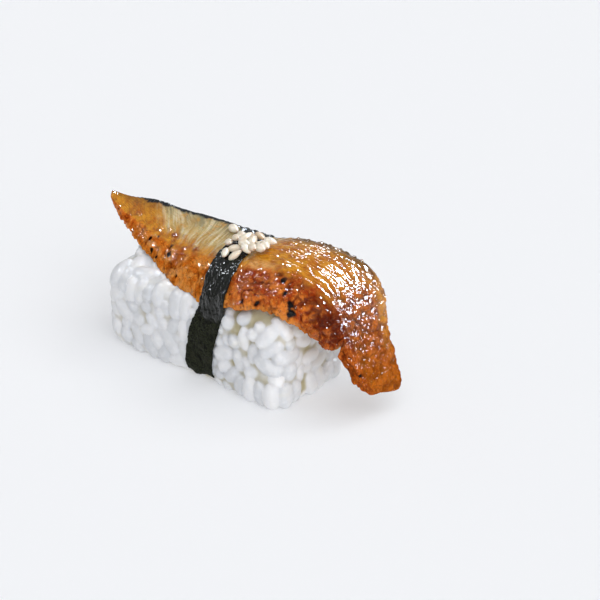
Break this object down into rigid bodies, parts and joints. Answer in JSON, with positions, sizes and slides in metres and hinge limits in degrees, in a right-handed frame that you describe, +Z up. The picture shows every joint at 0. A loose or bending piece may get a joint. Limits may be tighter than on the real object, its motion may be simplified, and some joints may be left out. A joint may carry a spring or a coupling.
{
  "type": "eel nigiri",
  "caption": "Finger of pressed rice with a long grilled, glazed eel fillet that droops over one end, tied with a nori band and topped with sesame.",
  "frame": {"origin": "on the surface that the rice stands on, below the middle of the whole piece's outline", "axes": "+X along the piece towards the hanging end of the fillet, -Y is the near side with the browned flank, +Z up"},
  "size_m": [0.0832, 0.028, 0.0309],
  "materials": {
    "rice": "moist, slightly translucent",
    "eel": "grilled, under a thin sticky glaze",
    "nori": "crinkled, half glossy",
    "sesame": "satin"
  },
  "bodies": {
    "root": {"rice": "rice", "eel": "eel", "nori": "nori"}
  },
  "joints": []
}
